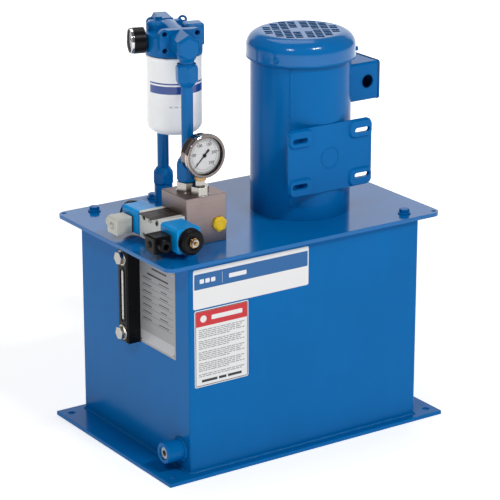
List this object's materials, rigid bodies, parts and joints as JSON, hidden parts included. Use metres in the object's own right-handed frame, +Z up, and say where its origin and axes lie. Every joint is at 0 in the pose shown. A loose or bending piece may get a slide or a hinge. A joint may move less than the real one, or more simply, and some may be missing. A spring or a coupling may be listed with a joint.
{
  "type": "hydraulic power unit",
  "caption": "Floor-standing hydraulic power unit: oil tank with a vertical motor driving a gear pump inside, a valve manifold with pressure gauge and a spin-on return filter.",
  "frame": {"origin": "centre of the base plate's underside", "axes": "+Z up; +X along the tank's long side, away from the level gauge; -Y is the long face that carries the labels and the pressure gauge's dial"},
  "size_m": [0.542, 0.362, 0.697],
  "materials": {
    "base_plate": "glossy paint",
    "tank_walls": "glossy paint",
    "cover_gasket": "matte",
    "cover_plate": "glossy paint",
    "cover_bolts": "glossy paint",
    "drain_plug": "machined",
    "level_gauge_housing": "moulded",
    "level_gauge_window": "clear",
    "level_gauge_bolts": "satin zinc plate",
    "breather_cap": "polished",
    "motor_frame": "glossy paint",
    "motor_lower_bell": "glossy paint",
    "motor_upper_bell": "glossy paint",
    "motor_fan_cover": "glossy paint",
    "motor_foot": "glossy paint",
    "conduit_box": "glossy paint",
    "conduit_box_cover": "glossy paint",
    "stator_core": "machined",
    "stator_windings": "varnished",
    "motor_bearings": "machined",
    "motor_shaft": "machined",
    "rotor_core": "machined",
    "motor_fan": "moulded",
    "coupling_hubs": "as cast",
    "coupling_spider": "matte",
    "pump_drive_gear": "machined",
    "pump_driven_gear": "machined",
    "pump_adapter": "machined",
    "pump_body": "machined",
    "pump_front_cover": "machined",
    "inner_bolts": "machined",
    "suction_strainer": "machined",
    "pressure_tube": "machined",
    "manifold_block": "satin zinc plate",
    "port_plug": "moulded",
    "relief_valve": "satin zinc plate",
    "valve_body": "machined",
    "valve_spool": "machined",
    "valve_coils": "moulded",
    "core_tubes": "satin zinc plate",
    "coil_nuts": "moulded",
    "override_pin_front": "machined",
    "override_pin_rear": "machined",
    "connector_grey": "moulded",
    "connector_black": "moulded",
    "valve_bolts": "machined",
    "gauge_case": "polished",
    "gauge_lenses": "clear",
    "gauge_needle": "moulded",
    "gauge_stem": "machined",
    "port_adapters": "satin zinc plate",
    "filter_head": "glossy paint",
    "filter_canister": "glossy paint",
    "filter_element": "pleated",
    "filter_elbows": "glossy paint",
    "riser_tubes": "glossy paint",
    "tube_nuts": "glossy paint",
    "return_flange": "glossy paint",
    "indicator_case": "moulded",
    "indicator_needle": "moulded"
  },
  "bodies": {
    "unit": {"base_plate": "base_plate", "tank_walls": "tank_walls", "cover_gasket": "cover_gasket", "cover_plate": "cover_plate", "cover_bolts": "cover_bolts", "level_gauge_housing": "level_gauge_housing", "level_gauge_window": "level_gauge_window", "level_gauge_bolts": "level_gauge_bolts", "motor_frame": "motor_frame", "motor_lower_bell": "motor_lower_bell", "motor_upper_bell": "motor_upper_bell", "motor_fan_cover": "motor_fan_cover", "motor_foot": "motor_foot", "conduit_box": "conduit_box", "conduit_box_cover": "conduit_box_cover", "stator_core": "stator_core", "stator_windings": "stator_windings", "motor_bearings": "motor_bearings", "pump_adapter": "pump_adapter", "pump_body": "pump_body", "pump_front_cover": "pump_front_cover", "inner_bolts": "inner_bolts", "suction_strainer": "suction_strainer", "pressure_tube": "pressure_tube", "manifold_block": "manifold_block", "relief_valve": "relief_valve", "valve_body": "valve_body", "valve_coils": "valve_coils", "core_tubes": "core_tubes", "coil_nuts": "coil_nuts", "connector_grey": "connector_grey", "connector_black": "connector_black", "valve_bolts": "valve_bolts", "gauge_case": "gauge_case", "gauge_lenses": "gauge_lenses", "gauge_stem": "gauge_stem", "port_adapters": "port_adapters", "filter_head": "filter_head", "filter_elbows": "filter_elbows", "riser_tubes": "riser_tubes", "tube_nuts": "tube_nuts", "return_flange": "return_flange", "indicator_case": "indicator_case"},
    "rotor": {"motor_shaft": "motor_shaft", "rotor_core": "rotor_core", "motor_fan": "motor_fan", "coupling_hubs": "coupling_hubs", "coupling_spider": "coupling_spider", "pump_drive_gear": "pump_drive_gear"},
    "driven_gear": {"pump_driven_gear": "pump_driven_gear"},
    "spool": {"valve_spool": "valve_spool"},
    "front_override": {"override_pin_front": "override_pin_front"},
    "rear_override": {"override_pin_rear": "override_pin_rear"},
    "gauge_hand": {"gauge_needle": "gauge_needle"},
    "indicator_hand": {"indicator_needle": "indicator_needle"},
    "canister": {"filter_canister": "filter_canister", "filter_element": "filter_element"},
    "breather": {"breather_cap": "breather_cap"},
    "drain": {"drain_plug": "drain_plug"},
    "port_plug_body": {"port_plug": "port_plug"}
  },
  "joints": [
    {"name": "rotor_spin", "type": "hinge", "parent": "unit", "child": "rotor", "pos_m": [0.09, -0.017, 0.45], "axis": [0, 0, 1], "continuous": true},
    {"name": "driven_gear_spin", "type": "hinge", "parent": "unit", "child": "driven_gear", "pos_m": [0.09, 0.019, 0.2], "axis": [0, 0, 1], "continuous": true},
    {"name": "spool_shift", "type": "slide", "parent": "unit", "child": "spool", "axis": [0, 1, 0], "range_m": [-0.003, 0.003], "stiffness_N_per_m": 2000},
    {"name": "front_override_push", "type": "slide", "parent": "unit", "child": "front_override", "axis": [0, 1, 0], "range_m": [0, 0.003], "stiffness_N_per_m": 400},
    {"name": "rear_override_push", "type": "slide", "parent": "unit", "child": "rear_override", "axis": [0, -1, 0], "range_m": [0, 0.003], "stiffness_N_per_m": 400},
    {"name": "gauge_hand_turn", "type": "hinge", "parent": "unit", "child": "gauge_hand", "pos_m": [-0.1505, -0.099, 0.505], "axis": [0, 1, 0], "range_deg": [0, 270], "stiffness_Nm_per_rad": 0.0005},
    {"name": "indicator_hand_turn", "type": "hinge", "parent": "unit", "child": "indicator_hand", "pos_m": [-0.19604, 0.04267, 0.6665], "axis": [-0.9511, 0.309, 0], "range_deg": [0, 90], "stiffness_Nm_per_rad": 0.0002},
    {"name": "canister_off", "type": "slide", "parent": "unit", "child": "canister", "axis": [0, 0, -1], "range_m": [0, 0.07]},
    {"name": "breather_lift", "type": "slide", "parent": "unit", "child": "breather", "axis": [0, 0, 1], "range_m": [0, 0.06]},
    {"name": "drain_plug_out", "type": "slide", "parent": "unit", "child": "drain", "axis": [-1, 0, 0], "range_m": [0, 0.03]},
    {"name": "port_plug_out", "type": "slide", "parent": "unit", "child": "port_plug_body", "axis": [0, -1, 0], "range_m": [0, 0.02]}
  ],
  "couplings": [
    {"joint": "driven_gear_spin", "follows": "rotor_spin", "ratio": -1}
  ]
}
